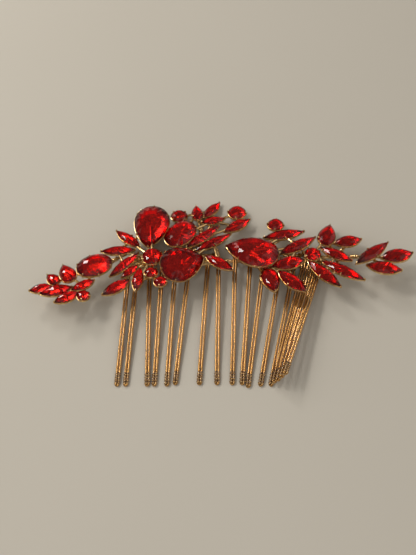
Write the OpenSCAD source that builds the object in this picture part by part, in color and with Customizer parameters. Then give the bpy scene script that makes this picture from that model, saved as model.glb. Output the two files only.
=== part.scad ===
// Hair comb: a spray of red cut stones in claw cups, tied to a wire comb with doubled teeth.
// It lies face up on a level surface, on its tooth tips and on the stems under its top settings.
// X runs along the comb, +Y from the teeth to the spray, +Z up; the origin is under the middle.

/* [Spray] */
// Length of the spray from end to end
spray_l = 134; // [124:1:160]
// Depth that the rows of stones are spread over
spray_w = 46.5; // [42:0.5:56]
// Shift of the stones from the spine towards the teeth
spray_shift = 0; // [-0.5:0.1:1.5]
// Slope of the spray as the comb lies, in degrees
spray_slope = 10; // [8:0.5:12]
// Height that the lift column of the stones counts in
lift_step = 2; // [1:0.1:2.5]

/* [Stones] */
// Length of a large pear stone
pear_l = 18; // [14:0.5:18.5]
// Width of a large pear stone
pear_w = 13; // [10:0.5:13.3]
// Length of a small drop stone
drop_l = 10; // [7:0.5:10.5]
// Width of a small drop stone
drop_w = 6; // [4:0.25:6.5]
// Length of a leaf stone
leaf_l = 15; // [11:0.5:15.5]
// Width of a leaf stone
leaf_w = 5; // [3.5:0.25:5.25]
// Length of an oval stone
oval_l = 14; // [10:0.5:14.5]
// Width of an oval stone
oval_w = 10; // [7:0.5:10.5]
// Diameter of a round stone
round_d = 6; // [4:0.25:6.25]
// Width of the flat table, as a share of the stone
table_share = 0.6; // [0.5:0.05:0.7]
// Height of the crown over the girdle, as a share of the stone's width
crown_share = 0.19; // [0.12:0.01:0.24]
// Depth of the back below the girdle, as a share of the stone's width
back_share = 0.22; // [0.16:0.01:0.24]
// Thickness of the girdle
girdle_t = 0.25; // [0.15:0.05:0.4]

/* [Settings] */
// Thickness of a claw cup's wall
cup_wall = 0.5; // [0.4:0.05:0.8]
// Thickness of metal behind a stone's back
cup_floor = 0.45; // [0.3:0.05:0.8]
// Clearance between a stone and its cup
stone_fit = 0.12; // [0.1:0.01:0.16]
// Width of a claw
claw_w = 0.8; // [0.6:0.05:1]
// Thickness of a claw's tip
claw_t = 0.25; // [0.15:0.05:0.4]
// How far a claw reaches in over the crown
claw_reach = 0.4; // [0.2:0.05:0.6]
// How far a claw's leg runs down the cup from its lip
claw_leg = 0.5; // [0.3:0.1:0.8]
// Diameter of the cast stems
stem_d = 1.1; // [0.9:0.1:1.4]
// Gap between neighbouring castings
casting_gap = 0.15; // [0.1:0.05:0.3]

/* [Comb] */
// Length of the toothed stretch of the comb
comb_l = 72; // [66:1:90]
// Shift of the comb's middle from the spray's middle
comb_shift = 2.8; // [0:0.2:4]
// Reach of the teeth from the spine
tooth_reach = 46.5; // [38:0.5:60]
// Diameter of the tooth wire
tooth_wire_d = 0.78; // [0.6:0.02:0.85]
// Gap between the two legs of a tooth
leg_gap = 0.12; // [0.1:0.02:0.2]
// Diameter of the spine wire
spine_d = 1.2; // [1:0.1:1.4]
// Clearance of a tooth's hook round the spine
hook_fit = 0.28; // [0.26:0.01:0.32]
// Height of the spine's axis over the surface as the comb lies
spine_h = 2; // [1.9:0.1:2.2]
// Step by which the right-hand tooth tips rise one after the other
tip_rise = 1.7; // [1.6:0.1:1.9]

/* [Binding] */
// Diameter of the binding wire
binding_d = 0.4; // [0.3:0.05:0.5]
// Clearance of the binding round the wires that it ties
binding_fit = 0.08; // [0.05:0.01:0.1]

/* [Hidden] */
GOLD = "goldenrod";
RED = "darkred";

// Stone table. CUT is the outline; LEN and WID are shares of that cut's length and width;
// X is a share of half the spray's length, Y of its depth, LIFT of the lift step;
// TURN is where the point looks, DIP how far the point hangs, ROLL the lean about the long
// axis, all in degrees; SPRIG is the casting that holds the stone, and STEM is where the stem
// under its cup runs to: another stone's cup, or the casting's back bar.
NAME = 0;
CUT = 1;
LEN = 2;
WID = 3;
X = 4;
Y = 5;
LIFT = 6;
TURN = 7;
DIP = 8;
ROLL = 9;
SPRIG = 10;
STEM = 11;
STONES = [
    ["leaf_01", "leaf", 0.53, 0.80, -0.933, -0.294, -1.00, 16, 0, 4, 0, "leaf_02"],
    ["leaf_02", "leaf", 0.75, 1.00, -0.852, -0.325, -0.55, 15, 0, 0, 0, "leaf_03"],
    ["leaf_03", "leaf", 0.59, 0.88, -0.790, -0.390, -0.40, 30, 0, 3, 0, "leaf_04"],
    ["leaf_04", "leaf", 0.56, 0.80, -0.715, -0.292, 0.05, 31, 0, 0, 0, "oval_01"],
    ["drop_01", "drop", 0.56, 0.73, -0.878, -0.220, -0.50, 140, 0, 0, 0, "drop_02"],
    ["drop_02", "drop", 0.83, 0.95, -0.806, -0.178, 0.00, 118, 0, 0, 0, "oval_01"],
    ["oval_01", "oval", 0.90, 0.92, -0.670, -0.111, 0.30, 26, 0, 4, 0, "bar"],
    ["round_01", "round", 0.73, 0.73, -0.706, -0.380, -0.30, 0, 0, 0, 0, "leaf_04"],
    ["leaf_05", "leaf", 0.79, 0.87, -0.557, 0.046, 0.00, 184, 0, 0, 1, "leaf_06"],
    ["leaf_06", "leaf", 0.80, 0.87, -0.509, 0.165, 0.06, 139, 0, 0, 1, "pear_01"],
    ["leaf_07", "leaf", 0.95, 0.77, -0.516, -0.095, 0.03, 230, 0, 0, 1, "round_02"],
    ["leaf_08", "leaf", 0.50, 0.64, -0.484, -0.159, -0.04, 227, 0, 0, 1, "round_02"],
    ["leaf_09", "leaf", 0.73, 0.98, -0.545, -0.307, -0.08, 217, 0, 0, 1, "leaf_08"],
    ["leaf_10", "leaf", 0.70, 0.82, -0.438, -0.239, 0.08, 265, 0, 0, 1, "round_03"],
    ["round_02", "round", 1.23, 1.23, -0.372, -0.026, 0.40, 0, 0, 0, 1, "bar"],
    ["round_03", "round", 0.77, 0.77, -0.373, -0.167, -0.10, 0, 0, 0, 1, "round_02"],
    ["round_04", "round", 0.75, 0.75, -0.322, -0.258, 0.04, 0, 0, 0, 1, "round_03"],
    ["pear_01", "pear", 0.94, 1.00, -0.387, 0.266, 0.95, 264, 16, 0, 1, "bar"],
    ["oval_02", "oval", 0.99, 1.00, -0.228, 0.212, 0.40, 55, 0, 0, 2, "bar"],
    ["round_05", "round", 1.02, 1.02, -0.239, 0.420, -0.17, 0, 0, 0, 2, "oval_02"],
    ["pear_02", "pear", 0.86, 1.02, -0.210, -0.105, 0.80, 20, 0, 15, 2, "bar"],
    ["drop_03", "drop", 0.74, 0.70, -0.139, 0.457, -0.20, 97, 0, 0, 2, "leaf_14"],
    ["leaf_11", "leaf", 0.65, 0.84, -0.057, 0.487, -0.12, 53, 0, 0, 2, "leaf_12"],
    ["leaf_12", "leaf", 0.60, 0.78, -0.051, 0.372, -0.25, 14, 0, 0, 2, "leaf_14"],
    ["round_06", "round", 1.13, 1.13, 0.084, 0.453, 0.02, 0, 0, 0, 2, "leaf_13"],
    ["leaf_13", "leaf", 0.76, 0.98, 0.081, 0.309, 0.06, 33, 0, 0, 2, "leaf_15"],
    ["leaf_14", "leaf", 1.07, 0.86, -0.105, 0.185, 0.20, 42, 0, 0, 2, "bar"],
    ["leaf_15", "leaf", 1.03, 0.78, -0.051, 0.130, 0.00, 33, 0, 0, 2, "bar"],
    ["leaf_16", "leaf", 0.77, 0.93, -0.021, -0.080, 0.20, -34, 0, 0, 2, "bar"],
    ["pear_03", "pear", 1.04, 1.04, 0.154, 0.015, 0.90, 165, 0, 0, 3, "bar"],
    ["round_07", "round", 1.00, 1.00, 0.294, 0.322, -0.10, 0, 0, 0, 3, "leaf_17"],
    ["leaf_17", "leaf", 1.01, 0.96, 0.334, 0.213, 0.00, 12, 0, 0, 3, "bar"],
    ["leaf_18", "leaf", 1.04, 0.98, 0.401, 0.098, 0.00, 31, 0, 0, 3, "leaf_19"],
    ["leaf_19", "leaf", 0.79, 1.18, 0.342, -0.078, 0.00, 15, 0, 0, 3, "bar"],
    ["drop_04", "drop", 1.06, 1.05, 0.243, -0.241, 0.00, -77, 0, 0, 3, "pear_03"],
    ["leaf_20", "leaf", 0.85, 1.14, 0.353, -0.254, 0.05, -46, 0, 0, 3, "leaf_19"],
    ["round_08", "round", 0.98, 0.98, 0.475, 0.007, 0.10, 0, 0, 0, 4, "bar"],
    ["leaf_21", "leaf", 1.03, 1.00, 0.520, -0.180, 0.00, -49, 0, 0, 4, "round_08"],
    ["leaf_22", "leaf", 1.07, 0.98, 0.622, -0.150, 0.00, -32, 0, 0, 4, "leaf_24"],
    ["drop_05", "drop", 1.05, 1.03, 0.569, 0.209, 0.00, 72, 0, 0, 4, "leaf_24"],
    ["leaf_23", "leaf", 0.67, 1.10, 0.675, 0.143, 0.00, 11, 0, 0, 4, "leaf_24"],
    ["leaf_24", "leaf", 0.80, 0.90, 0.600, 0.011, 0.00, -31, 0, 0, 4, "round_08"],
    ["leaf_25", "leaf", 1.08, 0.96, 0.785, 0.000, 0.75, 38, 0, 0, 4, "leaf_24"],
    ["leaf_26", "leaf", 0.77, 1.28, 0.913, -0.024, 0.70, 12, 0, 0, 4, "leaf_25"],
    ["leaf_27", "leaf", 0.79, 1.18, 0.830, -0.146, 0.80, -12, 0, 0, 4, "leaf_25"],
];

// Tooth table. ROOT and TIP are shares of half the comb's length from its middle, REACH of the
// teeth's reach, and RISE counts in tip rises.
ROOT = 0;
TIP = 1;
REACH = 2;
RISE = 3;
TEETH = [
    [-1.001, -1.050, 1.00, 0],
    [-0.918, -0.972, 1.00, 0],
    [-0.802, -0.775, 1.00, 0],
    [-0.675, -0.711, 1.00, 0],
    [-0.542, -0.597, 1.00, 0],
    [-0.405, -0.522, 0.99, 0],
    [-0.223, -0.303, 0.99, 0],
    [-0.117, -0.142, 0.99, 0],
    [0.045, -0.003, 0.99, 0],
    [0.198, 0.086, 0.99, 0],
    [0.335, 0.139, 1.01, 0],
    [0.508, 0.253, 1.00, 0],
    [0.645, 0.347, 1.00, 0],
    [0.741, 0.372, 0.99, 1],
    [0.801, 0.401, 0.99, 2],
    [0.861, 0.430, 0.98, 3],
    [0.921, 0.459, 0.97, 4],
];

// Each casting's back bar is tied to the spine in two gaps between teeth: the first tooth of each.
SPRIG_NAMES = ["left_sprig", "left_flower", "centre_spray", "right_flower", "right_sprig"];
TIED_AFTER = [[0, 1], [2, 3], [5, 6], [8, 9], [11, 12]];

// Sides of a large and of a small stone's outline
BIG_SIDES = 16;
SMALL_SIDES = 10;
// How full a pear's flanks are: 0 is an oval, 1 is a straight-sided drop
PEAR_FLANK = 0.55;
// Size of the flat back and of the cup's floor, as shares of the stone
CULET_SHARE = 0.35;
FLOOR_SHARE = 0.6;
// Room round a stone, as a share of its fit, that claws and stems are trimmed back to
TRIM_SHARE = 0.8;
// Distance from a neighbour in the same casting within which a claw is left out
CLAW_ROOM = 0.3;
// Share of a cup's floor that a stem is sunk into
STEM_BITE = 0.55;
// Sides of a stem, and the half height over its radius that they leave it
ROD_SIDES = 4;
STEM_HALF = cos(45);
// Depth of the posts' tops below the girdles, as a share of a leaf stone's width
POST_SHARE = 0.25;
// How far a bar runs past its outer ties
BAR_END = 1.3;
// Turns of binding wire at a tie, and their pitch over the wire's diameter
TIE_TURNS = 2;
TIE_PITCH = 1.25;

hook_r = spine_d / 2 + hook_fit + tooth_wire_d / 2;
leg_x = (tooth_wire_d + leg_gap) / 2;
bar_y = hook_r + tooth_wire_d / 2 + hook_fit + stem_d / 2;
// The spray lies on the stems of its highest row of cups
girdle_h = max([for (s = STONES) row_y(s[Y]) * tan(spray_slope) - s[LIFT] * lift_step + stem_reach(s)]);
// The box from the tooth tips to the top settings is centred on the origin
top_reach = max([for (s = STONES) row_y(s[Y]) + half_y(s) + cup_wall + stone_fit]);
spine_y = (tooth_reach * 1.01 - top_reach) / 2;

function cut_l(s) = s[LEN] * (s[CUT] == "pear" ? pear_l : s[CUT] == "drop" ? drop_l :
    s[CUT] == "leaf" ? leaf_l : s[CUT] == "oval" ? oval_l : round_d);
function cut_w(s) = s[WID] * (s[CUT] == "pear" ? pear_w : s[CUT] == "drop" ? drop_w :
    s[CUT] == "leaf" ? leaf_w : s[CUT] == "oval" ? oval_w : round_d);
function sides(s) = cut_w(s) > 8.5 ? BIG_SIDES : SMALL_SIDES;
function crown(s) = crown_share * cut_w(s);
function back(s) = back_share * cut_w(s);
function cup_depth(s) = girdle_t + back(s) + cup_floor;
// Half the length in Y of a stone as it is turned
function half_y(s) = norm([cut_l(s) / 2 * sin(s[TURN]), cut_w(s) / 2 * cos(s[TURN])]);
// Depth of a stem's axis below its stone's girdle: its top is sunk into the cup's floor
function stem_depth(s) = cup_depth(s) + stem_d / 2 - STEM_BITE * cup_floor;
// How far the lowest point of a stem's end lies below the middle of its stone's girdle
function stem_reach(s) = stem_depth(s) * cos(spray_slope) + STEM_HALF * stem_d / 2;

function row_y(y) = y * spray_w - spray_shift;

// A place on the spray, from shares and a lift
function on_spray(x, y, lift) =
    [x * spray_l / 2, row_y(y), girdle_h - row_y(y) * tan(spray_slope) + lift * lift_step];
function stone_at(s) = on_spray(s[X], s[Y], s[LIFT]);

// Outlines, with the point of a pear, drop or leaf towards +X
function lens_y(x, l, w) =
    let (r = (l * l + w * w) / (4 * w))
    sqrt(max(0, r * r - x * x)) - (r - w / 2);
function pear_peak() =
    let (t = acos(-PEAR_FLANK / (2 + PEAR_FLANK)))
    sin(t) * pow(sin(t / 2), PEAR_FLANK);
function outline(cut, l, w, n) = [
    for (i = [0:n - 1])
    let (t = 360 * i / n, x = l / 2 * cos(t))
    cut == "leaf" ? [x, sign(sin(t)) * (i == 0 || 2 * i == n ? 0 : lens_y(x, l, w))] :
    cut == "pear" || cut == "drop" ? [x, w / 2 * sin(t) * pow(sin(t / 2), PEAR_FLANK) / pear_peak()] :
    [x, w / 2 * sin(t)]
];

// A closed solid through rings of equal length, from the lowest to the highest.
// Each ring is [outline, z].
module stacked(rings) {
    n = len(rings[0][0]);
    points = [for (r = rings) for (p = r[0]) [p.x, p.y, r[1]]];
    walls = [
        for (k = [0:len(rings) - 2])
        for (i = [0:n - 1])
        let (j = (i + 1) % n)
        [k * n + i, (k + 1) * n + i, (k + 1) * n + j, k * n + j]
    ];
    bottom = [for (i = [0:n - 1]) i];
    top = [for (i = [0:n - 1]) len(rings) * n - 1 - i];
    polyhedron(points, concat([bottom, top], walls));
}

// Puts a stone's own frame on the spray, with its girdle at z = 0
module seated(s) {
    translate(stone_at(s))
        rotate([-spray_slope, 0, 0])
        rotate([0, 0, s[TURN]])
        rotate([s[ROLL], s[DIP], 0])
        children();
}

// A ring of a stone's outline, as a share of the stone, grown by a margin on every side
function ring(s, share, margin) =
    outline(s[CUT], cut_l(s) * share + 2 * margin, cut_w(s) * share + 2 * margin, sides(s));

// A cut stone: flat table, crown, girdle and a tapered back, all grown by a clearance
module cut_stone(s, grow) {
    stacked([
        [ring(s, CULET_SHARE, grow), -girdle_t - back(s) - grow],
        [ring(s, 1, grow), -girdle_t],
        [ring(s, 1, grow), 0],
        [ring(s, table_share, grow), crown(s) + grow],
    ]);
}

// A claw cup: a bowl with a flat floor and lip, the stone's clearance wider than its stone
module cup(s) {
    rim = cup_wall + stone_fit;
    stacked([
        [ring(s, FLOOR_SHARE, rim), -cup_depth(s)],
        [ring(s, 1, rim), -girdle_t],
        [ring(s, 1, stone_fit), -girdle_t],
        [ring(s, CULET_SHARE, stone_fit), -girdle_t - back(s) - stone_fit],
    ]);
}

// The outer form of a claw cup, grown by a gap
module cup_form(s, grow) {
    rim = cup_wall + stone_fit + grow;
    stacked([
        [ring(s, FLOOR_SHARE, rim), -cup_depth(s) - grow],
        [ring(s, 1, rim), -girdle_t + grow],
    ]);
}

// Where the claws of a cup stand, as angles of the outline
function claw_angles(s) = s[CUT] == "leaf" ? (cut_l(s) > leaf_l * 0.9 ? [0, 90, 180, 270] : [0, 180]) :
    s[CUT] == "pear" ? [0, 80, 140, 220, 280] :
    s[CUT] == "drop" ? [0, 120, 240] :
    s[CUT] == "oval" ? [35, 145, 215, 325] : [45, 135, 225, 315];
// A point of the outline and the way out from it
function edge_at(s, angle) =
    let (x = cut_l(s) / 2 * cos(angle), w = cut_w(s))
    s[CUT] == "leaf" ? [x, sign(sin(angle)) * (abs(sin(angle)) < 0.01 ? 0 : lens_y(x, cut_l(s), w))] :
    s[CUT] == "pear" || s[CUT] == "drop" ?
        [x, w / 2 * sin(angle) * pow(sin(angle / 2), PEAR_FLANK) / pear_peak()] :
    [x, w / 2 * sin(angle)];
function out_from(s, p) = atan2(p.y * cut_l(s), p.x * cut_w(s));

// A place of a stone's plan on the spray
function plan_of(s, p) = let (c = stone_at(s))
    [c.x + p.x * cos(s[TURN]) - p.y * sin(s[TURN]), c.y + p.x * sin(s[TURN]) + p.y * cos(s[TURN])];
// Whether a place in plan lies under or over another stone
function covered(o, q, room) =
    let (c = stone_at(o), d = q - [c.x, c.y], t = o[TURN])
    norm([(d.x * cos(t) + d.y * sin(t)) / (cut_l(o) / 2 + room),
        (d.y * cos(t) - d.x * sin(t)) / (cut_w(o) / 2 + room)]) < 1;
// A claw keeps off its neighbours' stones, and off the cups of other castings too
function claw_room(s, o) = s[SPRIG] == o[SPRIG] ? CLAW_ROOM :
    claw_w / 2 + cup_wall + stone_fit + casting_gap;
function has_room(s, p) =
    let (q = plan_of(s, p * (1 + cup_wall / norm(p))))
    len([for (o = STONES) if (o[NAME] != s[NAME] && covered(o, q, claw_room(s, o))) 1]) == 0;

// One claw: a leg in the cup's wall, and a tip that reaches in over the crown
module claw(s, p) {
    steep = 2 * crown_share / (1 - table_share);
    inner = stone_fit + cup_wall * 0.1;
    outer = stone_fit + cup_wall * 0.9;
    under = steep * claw_reach + 1.4 * stone_fit;
    translate([p.x, p.y, 0])
        rotate([0, 0, out_from(s, p)])
        rotate([90, 0, 0])
        translate([0, 0, -claw_w / 2])
        linear_extrude(claw_w)
        polygon([
            [inner, -girdle_t - claw_leg],
            [outer, -girdle_t - claw_leg],
            [outer, under / 2],
            [-claw_reach, under + claw_t],
            [-claw_reach, under],
            [inner, 0],
        ]);
}

// A faceted rod between two places
module rod(a, b) {
    hull() {
        translate(a) sphere(d = stem_d, $fn = ROD_SIDES);
        translate(b) sphere(d = stem_d, $fn = ROD_SIDES);
    }
}

// Where the stem under a stone's cup starts
function stem_at(s) = stone_at(s) - stem_depth(s) * [0, sin(spray_slope), cos(spray_slope)];
// The turned-up ends of a casting's back bar, which its first stems run to
function post_at(k, x) = [x, bar_y, girdle_h - bar_y * tan(spray_slope) - POST_SHARE * leaf_w - stem_d / 2];
function nearer_end(k, x) = abs(x - bar_from(k)) < abs(x - bar_to(k)) ? bar_from(k) : bar_to(k);
function has_stems(k, x) =
    len([for (s = STONES) if (s[SPRIG] == k && s[STEM] == "bar" && nearer_end(k, stone_at(s).x) == x) 1]) > 0;
function stem_to(s) = s[STEM] == "bar" ? post_at(s[SPRIG], nearer_end(s[SPRIG], stone_at(s).x)) :
    stem_at(STONES[search([s[STEM]], STONES)[0]]);

// The cups, stems and back bar of one casting
module casting_form(k) {
    for (s = STONES)
        if (s[SPRIG] == k) {
            seated(s) {
                cup(s);
                for (a = claw_angles(s)) {
                    p = edge_at(s, a);
                    if (has_room(s, p)) claw(s, p);
                }
            }
            rod(stem_at(s), stem_to(s));
        }
    for (x = [bar_from(k), bar_to(k)])
        if (has_stems(k, x)) rod([x, bar_y, spine_h], post_at(k, x));
    rod([bar_from(k), bar_y, spine_h], [bar_to(k), bar_y, spine_h]);
}

module casting(k) {
    color(GOLD)
        translate([0, spine_y, 0])
        difference() {
            casting_form(k);
            for (s = STONES) seated(s) cut_stone(s, stone_fit * TRIM_SHARE);
            for (s = STONES)
                if (s[SPRIG] > k) seated(s) cup_form(s, casting_gap);
        }
}

function root_x(i) = comb_shift + TEETH[i][ROOT] * comb_l / 2;
function tie_x(i) = (root_x(i) + root_x(i + 1)) / 2;
function bar_from(k) = tie_x(TIED_AFTER[k][0]) - BAR_END;
function bar_to(k) = tie_x(TIED_AFTER[k][1]) + BAR_END;

// One tooth: a hairpin of round wire whose legs hook over the spine from the front
module tooth(i) {
    t = TEETH[i];
    root = root_x(i);
    across = comb_shift + t[TIP] * comb_l / 2 - root;
    plan = norm([across, t[REACH] * tooth_reach]);
    fall = spine_h - tooth_wire_d / 2 - t[RISE] * tip_rise;
    whole = sqrt(plan * plan + fall * fall - hook_r * hook_r);
    leg = whole - leg_x;
    dip = atan2(fall, plan) + atan2(hook_r, whole);
    translate([root, spine_y, spine_h])
        rotate([0, 0, atan2(across, t[REACH] * tooth_reach)])
        rotate([dip, 0, 0]) {
            for (side = [-1, 1])
                translate([side * leg_x, 0, 0]) {
                    rotate([0, -90, 0])
                        rotate_extrude(angle = 220, $fn = 48)
                        translate([hook_r, 0])
                        circle(d = tooth_wire_d);
                    translate([0, 0, hook_r])
                        rotate([90, 0, 0])
                        cylinder(h = leg, d = tooth_wire_d, $fn = 32);
                }
            translate([0, -leg, hook_r])
                rotate([0, 0, 180])
                rotate_extrude(angle = 180, $fn = 48)
                translate([leg_x, 0])
                circle(d = tooth_wire_d);
        }
}

module comb_teeth() {
    color(GOLD)
        for (i = [0:len(TEETH) - 1]) tooth(i);
}

module spine() {
    last = len(TEETH) - 1;
    color(GOLD)
        translate([root_x(0) - 2 * leg_x - tooth_wire_d, spine_y, spine_h])
        rotate([0, 90, 0])
        cylinder(h = root_x(last) - root_x(0) + 4 * leg_x + 2 * tooth_wire_d, d = spine_d, $fn = 32);
}

// One turn of binding round the spine and a back bar
module tie_turn() {
    loop_r = max(spine_d, stem_d) / 2 + binding_fit + binding_d / 2;
    for (side = [0, 1])
        translate([0, side * bar_y, 0])
            rotate([0, 90, 0])
            rotate([0, 0, side * 180 + 180])
            rotate_extrude(angle = 180, $fn = 48)
            translate([loop_r, 0])
            circle(d = binding_d);
    for (z = [-loop_r, loop_r])
        translate([0, 0, z])
            rotate([-90, 0, 0])
            cylinder(h = bar_y, d = binding_d, $fn = 32);
}

module binding() {
    pitch = TIE_PITCH * binding_d;
    color(GOLD)
        for (ties = TIED_AFTER)
            for (i = ties)
                for (turn = [0:TIE_TURNS - 1])
                    translate([tie_x(i) + (turn - (TIE_TURNS - 1) / 2) * pitch, spine_y, spine_h])
                        tie_turn();
}

module stone(s) {
    color(RED)
        translate([0, spine_y, 0])
        seated(s) cut_stone(s, 0);
}

comb_teeth();
spine();
binding();
for (k = [0:len(SPRIG_NAMES) - 1])
    casting(k);
for (s = STONES)
    stone(s);
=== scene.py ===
import math
import random
import bpy
import numpy as np
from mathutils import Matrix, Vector


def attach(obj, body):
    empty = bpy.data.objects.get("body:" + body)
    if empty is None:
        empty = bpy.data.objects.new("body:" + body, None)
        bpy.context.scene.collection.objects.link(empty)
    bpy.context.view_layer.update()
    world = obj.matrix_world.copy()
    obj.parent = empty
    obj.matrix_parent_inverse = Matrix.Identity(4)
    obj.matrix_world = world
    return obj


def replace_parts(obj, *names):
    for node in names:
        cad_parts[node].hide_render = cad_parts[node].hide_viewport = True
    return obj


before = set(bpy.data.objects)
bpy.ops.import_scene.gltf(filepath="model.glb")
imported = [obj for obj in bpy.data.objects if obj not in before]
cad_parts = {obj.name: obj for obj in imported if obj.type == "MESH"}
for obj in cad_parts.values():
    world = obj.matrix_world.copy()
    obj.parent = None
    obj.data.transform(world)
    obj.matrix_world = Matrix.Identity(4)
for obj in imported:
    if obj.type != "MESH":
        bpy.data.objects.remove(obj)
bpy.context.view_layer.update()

# Sizes are in millimetres unless a comment says metres, and meshes are made in metres
MM = 0.001
scene = bpy.context.scene


# Plan of the castings

# Which stone's cup, or which back bar, the stem under each stone runs to
STEMS = {
    "left_sprig": "leaf_01>leaf_02 leaf_02>leaf_03 leaf_03>leaf_04 leaf_04>oval_01 drop_01>drop_02 "
                  "drop_02>oval_01 oval_01>bar round_01>leaf_04",
    "left_flower": "leaf_05>leaf_06 leaf_06>pear_01 leaf_07>round_02 leaf_08>round_02 leaf_09>leaf_08 "
                   "leaf_10>round_03 round_02>bar round_03>round_02 round_04>round_03 pear_01>bar",
    "centre_spray": "oval_02>bar round_05>oval_02 pear_02>bar drop_03>leaf_14 leaf_11>leaf_12 "
                    "leaf_12>leaf_14 round_06>leaf_13 leaf_13>leaf_15 leaf_14>bar leaf_15>bar leaf_16>bar",
    "right_flower": "pear_03>bar round_07>leaf_17 leaf_17>bar leaf_18>leaf_19 leaf_19>bar drop_04>pear_03 "
                    "leaf_20>leaf_19",
    "right_sprig": "round_08>bar leaf_21>round_08 leaf_22>leaf_24 drop_05>leaf_24 leaf_23>leaf_24 "
                   "leaf_24>round_08 leaf_25>leaf_24 leaf_26>leaf_25 leaf_27>leaf_25",
}
# Short struts between neighbouring cups of one casting
STRUTS = {
    "left_sprig": "drop_02>leaf_04 leaf_03>drop_01",
    "left_flower": "leaf_05>round_02 leaf_06>round_02 pear_01>round_02 leaf_10>round_02 leaf_07>leaf_08 "
                   "leaf_05>leaf_07",
    "centre_spray": "oval_02>pear_02 leaf_16>pear_02 leaf_14>leaf_15 leaf_14>oval_02 leaf_13>leaf_14 "
                    "leaf_11>drop_03 drop_03>oval_02 leaf_12>oval_02 round_05>drop_03 leaf_15>oval_02 "
                    "leaf_15>pear_02 leaf_15>leaf_16 round_06>leaf_12 leaf_13>leaf_12",
    "right_flower": "leaf_17>pear_03 leaf_20>pear_03 leaf_18>pear_03 leaf_17>leaf_18 leaf_18>leaf_19",
    "right_sprig": "drop_05>round_08 leaf_24>leaf_21 leaf_26>leaf_27 leaf_22>round_08 leaf_22>leaf_21",
}
# The two ends in X of each casting's back bar
BARS = {"left_sprig": (-33.0, -26.9), "left_flower": (-25.1, -17.8), "centre_spray": (-9.8, -2.0),
        "right_flower": (5.9, 13.7), "right_sprig": (22.3, 29.0)}
# The back bars' place in Y and Z, and the height of the posts that stand on them
BAR_Y, BAR_Z, POST_Z = 12.3, 2.0, 4.3


# Sizes that several forms share

# Radii of a stem, of a back bar with its posts, of a strut and of the thin wound wire
STEM_R, BAR_R, STRUT_R, WIRE_R = 0.55, 0.605, 0.5, 0.2
# Corners round each kind of rod
SIDES = {"stem": 10, "strut": 8, "claw": 8, "upright": 6, "wire": 6, "tip_ring": 5, "sleeve": 16}
# Edges that turn by more degrees than this look sharp, on castings and on wire
CAST_CREASE, WIRE_CREASE = 40, 60
# The lowest that any piece reaches, just clear of the surface that the comb lies on
LOWEST = 0.01


# Outlines of the stones

# How much a pear or drop narrows towards its point; at 0 it would be an oval
FLANK = 0.55


def pear_peak():
    """The greatest height of the pear's curve in edge(), which scales it to the stone's width."""
    t = math.acos(-FLANK / (2 + FLANK))
    return math.sin(t) * math.sin(t / 2) ** FLANK


PEAR_PEAK = pear_peak()


def edge(kind, length, width, t):
    """A spot on a stone's outline; the point of a pear, drop or leaf looks along +X."""
    x, s = length / 2 * math.cos(t), math.sin(t)
    if kind == "leaf":
        r = (length ** 2 + width ** 2) / (4 * width)
        y = math.copysign(math.sqrt(r * r - x * x) - r + width / 2, s)
    elif kind in ("pear", "drop"):
        y = width / 2 * s * math.sin(t / 2) ** FLANK / PEAR_PEAK
    else:
        y = width / 2 * s
    return np.array([x, y])


def outline(kind, length, width, n, shift=0.0):
    """The n corners of an outline, moved on by that share of a step."""
    return [edge(kind, length, width, 2 * math.pi * (i + shift) / n) for i in range(n)]


# The stones' places

# A flat face of a stone looks up if its normal's Z is above this
UPWARD = 0.6
# Heights closer than the first are one level, and a corner within the second is on it
LEVEL_STEP, LEVEL_SLACK = 0.03, 0.02
# Stones wider than this have more facets and a finer cup
BIG_STONE = 8.5


class Stone:
    """A stone's place, read from its CAD node: centre of the girdle's top, axes and sizes."""

    def __init__(self, name):
        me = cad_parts[name].data
        self.name, self.kind = name, name.split("_")[0]
        co = np.array([v.co for v in me.vertices]) / MM
        up = self.table_normal(me)
        height = co @ up

        # Levels of the corners, from the culet over the girdle's two edges up to the table
        levels = sorted(set(np.round(height, 2)))
        levels = [v for i, v in enumerate(levels) if i == 0 or v - levels[i - 1] > LEVEL_STEP]
        culet, low, top, table = levels[0], levels[1], levels[2], levels[-1]
        ring = co[np.abs(height - top) < LEVEL_SLACK]

        # The two corners that lie furthest apart give the length and X, turned to the narrow end
        gap = np.linalg.norm(ring[:, None] - ring[None], axis=2)
        a, b = np.unravel_index(gap.argmax(), gap.shape)
        x = ring[a] - ring[b]
        self.length = float(np.linalg.norm(x))
        x /= self.length
        y = np.cross(up, x)
        centre = (ring[a] + ring[b]) / 2
        lx, ly = (ring - centre) @ x, (ring - centre) @ y
        self.width = float(ly.max() - ly.min())
        if self.kind in ("pear", "drop") and np.abs(ly[lx > 0]).mean() > np.abs(ly[lx < 0]).mean():
            x, y = -x, -y
        if self.kind == "round":
            centre = ring.mean(0)
        self.x, self.y, self.up, self.centre = x, y, up, centre
        self.crown, self.girdle, self.depth = float(table - top), float(top - low), float(top - culet)
        self.big = self.width > BIG_STONE

    @staticmethod
    def table_normal(me):
        """The normal of the table, the largest flat area that looks up."""
        areas = {}
        for p in me.polygons:
            if p.normal.z > UPWARD:
                key = tuple(round(c, 2) for c in p.normal)
                area, total = areas.get(key, (0.0, Vector((0, 0, 0))))
                areas[key] = (area + p.area, total + p.normal * p.area)
        return np.array(max(areas.values(), key=lambda a: a[0])[1].normalized())

    def out(self, p):
        """From the stone's own axes to the frame's."""
        return self.centre + p[0] * self.x + p[1] * self.y + p[2] * self.up

    def ring(self, n, share, z, shift=0.0, margin=0.0):
        """n points round the stone, at a share of its size and then a margin outwards."""
        length, width = self.length * share + 2 * margin, self.width * share + 2 * margin
        return [self.out((*p, z)) for p in outline(self.kind, length, width, n, shift)]

    def covers(self, q, room):
        """Whether a point lies over or under the stone, or within some room of it."""
        d = q - self.centre
        return math.hypot(d @ self.x / (self.length / 2 + room), d @ self.y / (self.width / 2 + room)) < 1


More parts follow.
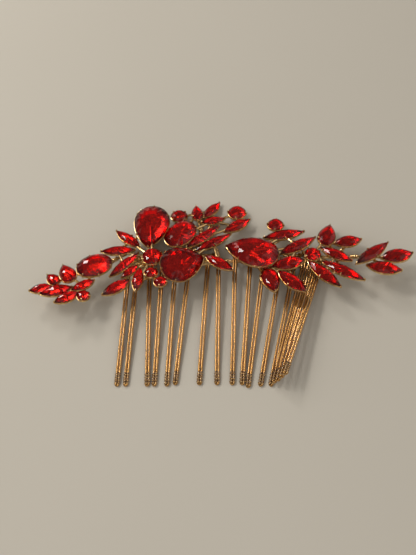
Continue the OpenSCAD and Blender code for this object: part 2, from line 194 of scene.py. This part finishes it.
class Build:
    """Collects corners and faces, with a painted shade for each face, and makes the piece.

    A foiled face has a tuple for its painted shade, with one shade for each of its corners."""

    def __init__(self):
        self.v, self.f, self.facet_shades = [], [], []

    def points(self, pts):
        first = len(self.v)
        self.v += [tuple(p) for p in pts]
        return list(range(first, len(self.v)))

    def face(self, ids, facet_shade=0.5):
        self.f.append(tuple(ids))
        self.facet_shades.append(facet_shade)

    def bridge(self, a, b):
        """A closed band of faces between two rings."""
        for i in range(len(a)):
            j = (i + 1) % len(a)
            self.face((a[i], a[j], b[j], b[i]))

    def cap(self, first, last):
        """The two ends of what runs from the first ring to the last."""
        self.face(first[::-1])
        self.face(last)

    def paint(self, me):
        """Keeps each face's painted shade for the materials; foiled faces take the second material."""
        data = me.color_attributes.new("facet", "FLOAT_COLOR", "CORNER").data
        for p, facet_shade in zip(me.polygons, self.facet_shades):
            foiled = isinstance(facet_shade, tuple)
            p.material_index = int(foiled)
            for k, t in zip(p.loop_indices, facet_shade if foiled else [facet_shade] * len(p.vertices)):
                data[k].color = (t, t, t, 1)

    def piece(self, name, slot, *materials, crease=None):
        """The finished piece: smooth up to a crease in degrees, or, with none, in flat facets."""
        me = bpy.data.meshes.new(name)
        me.from_pydata([Vector((x, y, max(z, LOWEST))) * MM for x, y, z in self.v], [], self.f)
        for m in materials:
            me.materials.append(m)
        if crease is None:
            self.paint(me)
        me.validate()
        if crease is not None:
            me.shade_smooth()
            me.set_sharp_from_angle(angle=math.radians(crease))
        ob = bpy.data.objects.new(name, me)
        scene.collection.objects.link(ob)
        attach(ob, "root")
        return ob


# Cut stones

# Facets round a big stone and round a small one
BIG_CUT, SMALL_CUT = 16, 8
# Rings of the crown's corners, each a share of the outline and a share of the crown's height
MID, TABLE, INNER = (0.83, 0.54), (0.62, 0.9), (0.36, 0.98)
# Shift of the crown's highest point away from the stone's point, as a share of the length
TOP_SHIFT = -0.04
# Rings of the foiled back, as shares of the outline, and its middle, as a share of its depth
BELT, CULET, PIT = 0.675, 0.35, 0.87
# Darkest and lightest painted shade of each kind of facet. The facets are lighter towards the table and
# darker towards the girdle and at the foil's edge, with painted reflections lighting facets at random within
# each range; kite_half is a change to half of a kite
FACET_SHADE_RANGES = {
    "top": (0.55, 0.85), "inner": (0.5, 0.9), "table": (0.5, 0.9), "star": (0.3, 0.9),
    "kite": (0.25, 0.75), "kite_half": (-0.1, 0.1), "upper": (0.1, 0.5), "girdle": (0.1, 0.4),
    "foil_edge": (0.0, 0.3), "foil_belt": (0.4, 0.8), "foil_culet": (0.55, 1.0), "foil_pit": (0.5, 0.9),
}


def cut_stone(b, s):
    """A brilliant crown with a slightly domed table, over a foiled back of two tiers and a pit."""
    rnd = random.Random(s.name)

    # A facet's painted shade and reflection, taken at random within its kind's range
    def facet_shade(kind):
        low, high = FACET_SHADE_RANGES[kind]
        return low + (high - low) * rnd.random()

    n = BIG_CUT if s.big else SMALL_CUT
    girdle = b.points(s.ring(2 * n, 1, 0))
    lower = b.points(s.ring(2 * n, 1, -s.girdle))
    mid = b.points(s.ring(n, MID[0], MID[1] * s.crown, 0.5))
    table = b.points(s.ring(n, TABLE[0], TABLE[1] * s.crown))
    inner = b.points(s.ring(n, INNER[0], INNER[1] * s.crown, 0.5))
    top = b.points([s.out((TOP_SHIFT * s.length, 0, s.crown))])[0]
    belt = b.points(s.ring(n, BELT, -(s.girdle + s.depth) / 2, 0.5))
    culet = b.points(s.ring(n, CULET, -s.depth))
    pit = b.points([s.out((0, 0, -PIT * s.depth))])[0]
    for i in range(n):
        j, h = (i + 1) % n, (i - 1) % n
        here, between, there = girdle[2 * i], girdle[2 * i + 1], girdle[2 * j]
        b.face((top, inner[h], inner[i]), facet_shade("top"))
        b.face((inner[h], table[i], inner[i]), facet_shade("inner"))
        b.face((inner[i], table[i], table[j]), facet_shade("table"))
        b.face((table[i], mid[i], table[j]), facet_shade("star"))
        kite = facet_shade("kite")
        b.face((table[i], here, mid[i]), kite)
        b.face((table[i], mid[h], here), kite + facet_shade("kite_half"))
        b.face((here, between, mid[i]), facet_shade("upper"))
        b.face((between, there, mid[i]), facet_shade("upper"))

        # The foil is darkest under the girdle, a painted shade at the stone's edge
        here, between, there = lower[2 * i], lower[2 * i + 1], lower[2 * j]
        c, m, e = facet_shade("foil_culet"), facet_shade("foil_belt"), facet_shade("foil_edge")
        b.face((belt[i], between, here), (m, e, e))
        b.face((belt[i], there, between), (m, e, e))
        b.face((belt[h], belt[i], here), (m, m, e))
        b.face((culet[i], belt[i], belt[h]), (c, m, m))
        b.face((culet[i], culet[j], belt[i]), (c, c, m))
        b.face((pit, culet[j], culet[i]), (facet_shade("foil_pit"), c, c))
    for i in range(2 * n):
        j = (i + 1) % (2 * n)
        b.face((lower[i], lower[j], girdle[j], girdle[i]), facet_shade("girdle"))


# Gold rods

# Rings of a rod's domed end: how far out and how wide, in shares of its radius
DOME = ((0.7, 0.5), (0.35, 0.87))
# A rod's first side is square to Z, or to X where its direction's Z is larger than this
STEEP = 0.9


def tube(b, path, radii, sides):
    """A round rod along a path, with domed ends; radii is one number, or one for each point."""
    path = [np.asarray(p, float) for p in path]
    radii = [radii] * len(path) if isinstance(radii, (int, float)) else list(radii)
    angles = [2 * math.pi * k / sides for k in range(sides)]
    last = len(path) - 1
    rings, across = [], None
    for i, (p, r) in enumerate(zip(path, radii)):
        d = path[min(i + 1, last)] - path[max(i - 1, 0)]
        d /= np.linalg.norm(d)
        if across is None:
            across = np.cross(d, [0, 0, 1] if abs(d[2]) < STEEP else [1, 0, 0])
        across = across - d * (across @ d)
        across /= np.linalg.norm(across)
        other = np.cross(d, across)
        steps = [(0, 1)]
        if i == 0:
            steps = [(-out, share) for out, share in DOME] + steps
        if i == last:
            steps = steps + [(out, share) for out, share in reversed(DOME)]
        for out, share in steps:
            middle = p + d * (out * r)
            rings.append(b.points([
                middle + share * r * (across * math.cos(a) + other * math.sin(a)) for a in angles]))
    for first, second in zip(rings, rings[1:]):
        b.bridge(first, second)
    b.cap(rings[0], rings[-1])


# Cups

# Corners round a big cup and round a small one
BIG_CUP, SMALL_CUP = 48, 32
# Metal behind a stone's back
CUP_FLOOR = 0.45
# Narrowing from a cup's lip to its foot, as a share of its size
NARROWING = 0.4
# The seat inside a cup: share of the outline, and share of the way down
SEAT, SEAT_DOWN = 0.92, 0.5
# Its lip and top rail, from the inside out: margin round the stone, and height over the girdle's foot
RAIL = ((-0.12, 0.02), (-0.04, -0.16), (0.08, -0.1), (0.2, -0.13), (0.27, -0.25), (0.27, -0.6), (0.05, -0.7))
# Its slot, lower rail and bowl: share of the narrowing, margin, and share of the way down
BOWL = ((0.5, 0.1, 0.5), (0.52, 0.46, 0.52), (0.58, 0.52, 0.6), (0.68, 0.42, 0.72), (0.8, 0.3, 0.86),
        (1, 0.2, 1))
# Uprights across the slot: their tops' height over the same, their feet's share of the way down, margin
UPRIGHT_TOP, UPRIGHT_FOOT, UPRIGHT_MARGIN = -0.6, 0.52, 0.1
# Their radius, their pitch and the fewest of them, and an outline's length as a share of its box's
UPRIGHT_R, UPRIGHT_PITCH, FEWEST_UPRIGHTS, OUTLINE_SHARE = 0.15, 1.9, 6, 0.8


def cup(b, s):
    """An open-work claw setting: top rail, slot with uprights, lower rail and a closed bowl."""
    n = BIG_CUP if s.big else SMALL_CUP
    low = -s.girdle
    reach = s.depth + CUP_FLOOR - s.girdle
    rings = [s.ring(n, SEAT, low - SEAT_DOWN * reach)]
    rings += [s.ring(n, 1, low + z, margin=m) for m, z in RAIL]
    rings += [s.ring(n, 1 - NARROWING * f, low - down * reach, margin=m) for f, m, down in BOWL]
    rings = [b.points(r) for r in rings]
    for inside, outside in zip(rings, rings[1:]):
        b.bridge(outside, inside)
    b.cap(rings[-1], rings[0])
    count = max(FEWEST_UPRIGHTS, int(OUTLINE_SHARE * 2 * (s.length + s.width) / UPRIGHT_PITCH))
    tops = s.ring(count, 1, low + UPRIGHT_TOP, 0.5, UPRIGHT_MARGIN)
    feet = s.ring(count, 1 - NARROWING * UPRIGHT_FOOT, low - UPRIGHT_FOOT * reach, 0.5, UPRIGHT_MARGIN)
    for line in zip(tops, feet):
        tube(b, line, UPRIGHT_R, SIDES["upright"])


# Claws

# Where they stand round each kind of stone, in degrees; a leaf longer than LONG_LEAF has two more
CLAW_ANGLES = {
    "pear": (0, 65, 125, 180, 235, 295), "drop": (0, 120, 240), "oval": (35, 90, 145, 215, 270, 325),
    "round": (45, 135, 225, 315), "leaf": (0, 180), "long_leaf": (0, 90, 180, 270),
}
LONG_LEAF = 12
# A claw's foot: out from the stone's edge, and down, as a share of the back's depth
CLAW_FOOT_OUT, CLAW_FOOT_DOWN = 0.05, 0.7
# Its line above the foot: out from the edge, and up from the girdle's top
CLAW_LINE = ((0.2, -0.5), (0.22, -0.1), (0.14, 0.16), (-0.1, 0.34), (-0.36, 0.5))
# Its radii, from the foot to the tip
CLAW_RADII = (0.22, 0.24, 0.22, 0.2, 0.18, 0.15)
# A claw is left out where another stone comes this close to a spot this far out from the edge
CLAW_ROOM, CLAW_SPOT = 0.25, 0.5


def claws(b, s, stones):
    """Claws from under the stone, up its side and bent over its edge."""
    kind = "long_leaf" if s.kind == "leaf" and s.length > LONG_LEAF else s.kind
    for angle in CLAW_ANGLES[kind]:
        p = edge(s.kind, s.length, s.width, math.radians(angle))
        out = np.array([p[0] * s.width ** 2, p[1] * s.length ** 2])
        out = out / np.linalg.norm(out)
        spot = s.out((*(p + out * CLAW_SPOT), 0))
        if any(o is not s and o.covers(spot, CLAW_ROOM) for o in stones):
            continue
        line = ((CLAW_FOOT_OUT, -CLAW_FOOT_DOWN * s.depth),) + CLAW_LINE
        tube(b, [s.out((*(p + out * d), z)) for d, z in line], CLAW_RADII, SIDES["claw"])


# Stems and wound wire

# How far below the back of a stone its stem starts, and the same for a round stone
STEM_DROP, ROUND_DROP = 0.75, 0.7
# Points along a stem
STEM_POINTS = 7
# How far down a strut meets its two stones, as a share of the back's depth
STRUT_DOWN = 0.6
# Points in one turn of wire, and how far the wire's middle stands out, as a share of its radius
TURN_POINTS, COIL_OUT = 12, 0.8
# Pitch of the wire round a stem, half its greatest length, and the shortest bare stretch that has it
WRAP_PITCH, WRAP_HALF, WRAP_SHORTEST = 0.42, 1.3, 1.2
# Its distance from the stones, and from a stem's ends as a share of the stem; spots tried along a stem
WRAP_ROOM, WRAP_END, WRAP_TRIES = 0.3, 0.02, 61


def stem_at(s):
    """Just under the cup's floor, straight below the stone."""
    return s.centre - s.up * (s.depth + (ROUND_DROP if s.kind == "round" else STEM_DROP))


def turn(across, up, radius, i):
    """Point i of a wire's turns, seen from their middle."""
    a = 2 * math.pi * i / TURN_POINTS
    return radius * (across * math.cos(a) + up * math.sin(a))


def coil(b, start, end, core, pitch):
    """Turns of thin wire round a straight rod whose radius is core."""
    start, end = np.asarray(start), np.asarray(end)
    d = end - start
    length = np.linalg.norm(d)
    d /= length
    across = np.cross(d, [0, 0, 1])
    across /= np.linalg.norm(across)
    up = np.cross(d, across)
    steps = int(length / pitch * TURN_POINTS)
    radius = core + COIL_OUT * WIRE_R
    path = [start + d * length * i / steps + turn(across, up, radius, i) for i in range(steps + 1)]
    tube(b, path, WIRE_R, SIDES["wire"])


def wrap(b, start, line, stones):
    """Wire wound round the middle of what no stone covers of a stem."""
    length = np.linalg.norm(line)
    spots = np.linspace(0, 1, WRAP_TRIES)
    free = [t for t in spots if not any(o.covers(start + line * t, WRAP_ROOM) for o in stones)]
    bare = len(free) * length / WRAP_TRIES
    if bare < WRAP_SHORTEST:
        return
    mid = free[len(free) // 2]
    half = min(WRAP_HALF, bare / 2) / length
    low, high = max(mid - half, WRAP_END), min(mid + half, 1 - WRAP_END)
    coil(b, start + line * low, start + line * high, STEM_R, WRAP_PITCH)


def casting(name, stones, material):
    """One soldered casting: its cups and claws, the stems and struts under them, and its back bar."""
    b = Build()
    every_stone = list(stones.values())
    ends = BARS[name]
    used = set()
    for pair in STEMS[name].split():
        child, parent = pair.split(">")
        s = stones[child]
        cup(b, s)
        claws(b, s, every_stone)
        start = stem_at(s)
        if parent == "bar":
            x = min(ends, key=lambda v: abs(start[0] - v))
            used.add(x)
            line = np.array([x, BAR_Y, POST_Z]) - start
        else:
            line = stem_at(stones[parent]) - start
        tube(b, [start + line * t for t in np.linspace(0, 1, STEM_POINTS)], STEM_R, SIDES["stem"])
        wrap(b, start, line, every_stone)
    for pair in STRUTS[name].split():
        both = [stones[k] for k in pair.split(">")]
        tube(b, [s.centre - s.up * STRUT_DOWN * s.depth for s in both], STRUT_R, SIDES["strut"])
    for x in used:
        tube(b, [(x, BAR_Y, BAR_Z), (x, BAR_Y, POST_Z)], BAR_R, SIDES["stem"])
    tube(b, [(x, BAR_Y, BAR_Z) for x in ends], BAR_R, SIDES["stem"])
    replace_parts(b.piece(name + "_gold", "gold_cast", material, crease=CAST_CREASE), name)


# The wire comb

# Rings at each tooth's tip, their pitch, and how far back from the leg's end the first one lies
TIP_RINGS, TIP_PITCH, TIP_START = 4, 0.95, 0.3
# How far back the sleeve under them ends
SLEEVE_START = 0.1
# How far the rings' middle line and the sleeve stand out from the tooth's wire
RING_OUT, SLEEVE_OUT = 0.04, 0.03
# Only the sides of a leg have faces larger than this, in square metres
SIDE_FACE = 1e-6
# Pitch of the wire round the spine, its distance from teeth and ties, and the shortest room for it
SPINE_PITCH, SPINE_CLEAR, SPINE_SHORTEST = 0.46, 0.35, 1.5
# Bare stretch at each of the spine's ends, and how near in Y a tooth or tie is at the spine
SPINE_END, SPINE_NEAR = 0.3, 1


def loose_parts(name):
    """The separate shells of a CAD node, each as its faces."""
    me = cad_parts[name].data
    parent = list(range(len(me.vertices)))

    def root(i):
        while parent[i] != i:
            parent[i] = parent[parent[i]]
            i = parent[i]
        return i

    for e in me.edges:
        parent[root(e.vertices[0])] = root(e.vertices[1])
    parts = {}
    for p in me.polygons:
        parts.setdefault(root(p.vertices[0]), []).append(p)
    return list(parts.values())


def corners(name, faces):
    """The corners of some faces of a CAD node, in millimetres."""
    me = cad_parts[name].data
    return np.array([me.vertices[i].co for i in sorted({i for p in faces for i in p.vertices})]) / MM


class Leg:
    """One straight leg of a tooth, read from its sides: directions, middle line, end and radius."""

    def __init__(self, sides):
        pts = corners("comb_teeth", sides)
        # The normals of the sides spread least along the leg, and its tip lies towards -Y
        spread = sum(np.outer(p.normal, p.normal) * p.area for p in sides)
        along = np.linalg.eigh(spread)[1][:, 0]
        along *= -np.sign(along[1])
        flat = pts - np.outer(pts @ along, along)
        across = np.cross(along, [0, 0, 1])
        across /= np.linalg.norm(across)
        self.along, self.across, self.up = along, across, np.cross(across, along)
        self.centre = (flat.max(0) + flat.min(0)) / 2
        self.end = (pts @ along).max()
        self.radius = np.ptp((flat - self.centre) @ self.up) / 2

    def at(self, back):
        """The spot on its middle line that far back from its end."""
        return self.centre + self.along * (self.end - back)


def tooth_tips(rings, sleeves):
    """Rings raised on each leg of each tooth, over a sleeve painted dark as the shade in the pits between
    them, just short of its bend.
    """
    b, under = Build(), Build()
    for faces in loose_parts("comb_teeth"):
        sides = [p for p in faces if p.area > SIDE_FACE]
        # Bends and hooks are shells without such sides
        if not sides:
            continue
        leg = Leg(sides)
        sleeve = [leg.at(TIP_RINGS * TIP_PITCH), leg.at(SLEEVE_START)]
        tube(under, sleeve, leg.radius + SLEEVE_OUT, SIDES["sleeve"])
        ring = [turn(leg.across, leg.up, leg.radius + RING_OUT, i) for i in range(TURN_POINTS + 1)]
        for k in range(TIP_RINGS):
            middle = leg.at(TIP_START + TIP_PITCH * k)
            tube(b, [middle + p for p in ring], WIRE_R, SIDES["tip_ring"])
    b.piece("tooth_rings", "gold_wire", rings, crease=WIRE_CREASE)
    under.piece("tooth_sleeves", "gold_wire", sleeves, crease=WIRE_CREASE)


def spine_coils(material):
    """Thin wire wound round the spine wherever no tooth or tie takes the room."""
    pts = corners("spine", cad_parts["spine"].data.polygons)
    lo, hi = pts.min(0), pts.max(0)
    y, z, r = (lo[1] + hi[1]) / 2, (lo[2] + hi[2]) / 2, (hi[1] - lo[1]) / 2
    taken = [(-math.inf, lo[0] + SPINE_END), (hi[0] - SPINE_END, math.inf)]
    for name in ("comb_teeth", "binding"):
        for faces in loose_parts(name):
            near = corners(name, faces)
            near = near[near[:, 1] > y - SPINE_NEAR]
            if len(near):
                taken.append((near[:, 0].min(), near[:, 0].max()))
    taken.sort()
    b = Build()
    reach = taken[0][1]
    for x0, x1 in taken[1:]:
        if x0 - reach > SPINE_SHORTEST:
            coil(b, (reach + SPINE_CLEAR, y, z), (x0 - SPINE_CLEAR, y, z), r, SPINE_PITCH)
        reach = max(reach, x1)
    b.piece("spine_coils", "gold_wire", material, crease=WIRE_CREASE)


# Materials

# Height of the gold's fine unevenness, in metres
BUMP_HEIGHT = 0.0001


def new_material(name):
    """A new material, its node tree and its shader."""
    mat = bpy.data.materials.new(name)
    mat.use_nodes = True
    return mat, mat.node_tree, mat.node_tree.nodes["Principled BSDF"]


def ramp(nt, source, target, stops):
    """A colour ramp between two sockets; each stop is a place and a colour."""
    r = nt.nodes.new("ShaderNodeValToRGB")
    elements = r.color_ramp.elements
    while len(elements) < len(stops):
        elements.new(0.5)
    for element, (place, colour) in zip(elements, stops):
        element.position = place
        element.color = (*colour, 1)
    nt.links.new(source, r.inputs["Fac"])
    nt.links.new(r.outputs["Color"], target)


def noise(nt, scale, detail=3.0):
    """Noise that is fixed to the piece, with about that many waves in a metre."""
    n = nt.nodes.new("ShaderNodeTexNoise")
    n.inputs["Scale"].default_value = scale
    n.inputs["Detail"].default_value = detail
    nt.links.new(nt.nodes.new("ShaderNodeTexCoord").outputs["Object"], n.inputs["Vector"])
    return n.outputs["Fac"]


def shaded_by_facet(nt, bsdf, scale, share, stops):
    """Base colour from each facet's painted shade and reflection, with that share of noise added."""
    facet = nt.nodes.new("ShaderNodeAttribute")
    facet.attribute_name = "facet"
    add = nt.nodes.new("ShaderNodeMath")
    add.operation = "MULTIPLY_ADD"
    nt.links.new(noise(nt, scale), add.inputs[0])
    add.inputs[1].default_value = share
    nt.links.new(facet.outputs["Fac"], add.inputs[2])
    ramp(nt, add.outputs[0], bsdf.inputs["Base Color"], stops)


def red_glass():
    """Clear red glass for the crown and girdle, its colour darkened and lightened by each facet's painted
    shade and reflection.
    """
    mat, nt, bsdf = new_material("red_cut_glass")
    shaded_by_facet(nt, bsdf, scale=260.0, share=0.2, stops=(
        (0.1, (0.40, 0.002, 0.004)), (0.6, (0.80, 0.010, 0.014)), (1.0, (0.98, 0.025, 0.02))))
    bsdf.inputs["Roughness"].default_value = 0.02
    bsdf.inputs["IOR"].default_value = 1.4
    bsdf.inputs["Transmission Weight"].default_value = 1.0
    return mat


def red_foil():
    """The lacquered foil on a stone's back, its colour darkened and lightened by the painted shade of its
    faces, darkest under the girdle.
    """
    mat, nt, bsdf = new_material("red_foil")
    shaded_by_facet(nt, bsdf, scale=500.0, share=0.3, stops=(
        (0.1, (0.08, 0.004, 0.005)), (0.7, (0.80, 0.05, 0.045)), (1.1, (0.95, 0.22, 0.16))))
    bsdf.inputs["Metallic"].default_value = 1.0
    bsdf.inputs["Roughness"].default_value = 0.2
    return mat


def gold(name, dark, light, rough, scale, bump, lacquer=1.0, lacquer_rough=0.1, rim=(1.0, 1.0, 1.0)):
    """Gold between two colours and two roughnesses, under a lacquer; rim tints it at a low angle."""
    mat, nt, bsdf = new_material(name)
    grain = noise(nt, scale)
    ramp(nt, grain, bsdf.inputs["Base Color"], ((0.35, dark), (0.65, light)))
    spread = nt.nodes.new("ShaderNodeMapRange")
    spread.inputs["To Min"].default_value, spread.inputs["To Max"].default_value = rough
    nt.links.new(grain, spread.inputs["Value"])
    nt.links.new(spread.outputs["Result"], bsdf.inputs["Roughness"])
    relief = nt.nodes.new("ShaderNodeBump")
    relief.inputs["Strength"].default_value = bump
    relief.inputs["Distance"].default_value = BUMP_HEIGHT
    nt.links.new(grain, relief.inputs["Height"])
    nt.links.new(relief.outputs["Normal"], bsdf.inputs["Normal"])
    bsdf.inputs["Metallic"].default_value = 1.0
    bsdf.inputs["Specular Tint"].default_value = (*rim, 1)
    bsdf.inputs["Coat Weight"].default_value = lacquer
    bsdf.inputs["Coat Roughness"].default_value = lacquer_rough
    bsdf.inputs["Coat IOR"].default_value = 1.6
    return mat


def pale_surface():
    """The surface that the comb lies on."""
    mat, nt, bsdf = new_material("pale_surface")
    ramp(nt, noise(nt, scale=3.0, detail=4.0), bsdf.inputs["Base Color"],
         ((0.3, (0.51, 0.48, 0.42)), (0.7, (0.54, 0.51, 0.45))))
    bsdf.inputs["Roughness"].default_value = 0.75
    return mat


# The comb

glass, foil = red_glass(), red_foil()
cast_gold = gold("cast_gold", dark=(0.54, 0.32, 0.12), light=(0.82, 0.56, 0.25), rough=(0.16, 0.32),
                 scale=900.0, bump=0.2)
wire_gold = gold("wire_gold", dark=(0.46, 0.235, 0.055), light=(0.57, 0.30, 0.08), rough=(0.20, 0.27),
                 scale=45.0, bump=0.01, lacquer=0.8, lacquer_rough=0.12, rim=(0.62, 0.38, 0.20))
# Painted shade: this dark gold on the sleeves stands for the shade in the pits between the tip rings
dark_gold = gold("dark_gold", dark=(0.16, 0.08, 0.03), light=(0.36, 0.19, 0.07), rough=(0.3, 0.5),
                 scale=1200.0, bump=0.3, lacquer_rough=0.2)

# A stone's node is named for its kind and two digits, such as leaf_05
stones = {n: Stone(n) for n in sorted(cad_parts) if n[-3] == "_" and n[-2:].isdigit()}
for s in stones.values():
    b = Build()
    cut_stone(b, s)
    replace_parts(b.piece(s.name + "_cut", "red_stone", glass, foil), s.name)
for name in STEMS:
    casting(name, stones, cast_gold)
for name in ("comb_teeth", "spine", "binding"):
    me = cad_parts[name].data
    me.materials.clear()
    me.materials.append(wire_gold)
tooth_tips(cast_gold, dark_gold)
spine_coils(cast_gold)


# Floor, camera and lamps, in metres

# Half the floor's side
FLOOR_HALF = 2
# The camera's place, its tilt from straight down in degrees, and its lens in millimetres
CAMERA, TILT, LENS = (-0.00525, -0.1131, 0.2032), 30, 56.68
# The middle of the comb, which the lamps look at
AIM = (0, 0.005, 0)
# Each lamp's place, length or diameter, width if it is a strip, watts and colour
LAMPS = {
    "key": ((-0.304, 0.544, 0.504), 0.14, None, 1.00, (1.0, 0.97, 0.92)),
    "second": ((-0.48, 0.20, 0.60), 0.20, 0.10, 1.25, (1.0, 0.96, 0.90)),
    "soft": ((-0.45, 0.35, 0.45), 0.26, None, 0.70, (1.0, 0.95, 0.88)),
    "left": ((-1.00, 0.00, 0.70), 1.40, None, 6.3, (1.0, 0.96, 0.90)),
    "right": ((0.95, 0.05, 0.70), 1.40, None, 2.7, (1.0, 0.96, 0.90)),
    "front": ((0.0, -1.00, 0.70), 1.40, None, 2.3, (1.0, 0.96, 0.90)),
    "spark": ((-0.12, -0.30, 0.52), 0.02, None, 0.14, (1.0, 0.97, 0.90)),
}
# Colour and strength of the light from all round
ROOM, ROOM_STRENGTH = (0.80, 0.74, 0.67), 0.25


def lay_floor():
    me = bpy.data.meshes.new("floor")
    f = FLOOR_HALF
    me.from_pydata([(-f, -f, 0), (f, -f, 0), (f, f, 0), (-f, f, 0)], [], [(0, 1, 2, 3)])
    me.materials.append(pale_surface())
    floor = bpy.data.objects.new("floor", me)
    scene.collection.objects.link(floor)


def set_camera():
    cam = bpy.data.objects.new("camera", bpy.data.cameras.new("camera"))
    scene.collection.objects.link(cam)
    cam.location = CAMERA
    cam.rotation_euler = (math.radians(TILT), 0, 0)
    cam.data.sensor_fit = "HORIZONTAL"
    cam.data.sensor_width = 36
    cam.data.lens = LENS
    cam.data.clip_start = 0.01
    scene.camera = cam


def lamp(name, place, size, width, watts, colour):
    """A round lamp, or a strip of that width, turned to the middle of the comb."""
    light = bpy.data.lights.new(name, "AREA")
    light.shape = "RECTANGLE" if width else "DISK"
    light.size, light.size_y = size, width or size
    light.energy, light.color = watts, colour
    ob = bpy.data.objects.new(name, light)
    ob.location = place
    ob.rotation_euler = (Vector(AIM) - Vector(place)).to_track_quat("-Z", "Y").to_euler()
    scene.collection.objects.link(ob)
    return ob


def light_room():
    world = bpy.data.worlds.new("room")
    world.use_nodes = True
    backdrop = world.node_tree.nodes["Background"]
    backdrop.inputs["Color"].default_value = (*ROOM, 1)
    backdrop.inputs["Strength"].default_value = ROOM_STRENGTH
    scene.world = world


lay_floor()
set_camera()
lamps = {name: lamp(name, *values) for name, values in LAMPS.items()}
# The stones would look hazy if they mirrored this large lamp
lamps["left"].visible_glossy = False
light_room()
scene.view_settings.view_transform = "Standard"
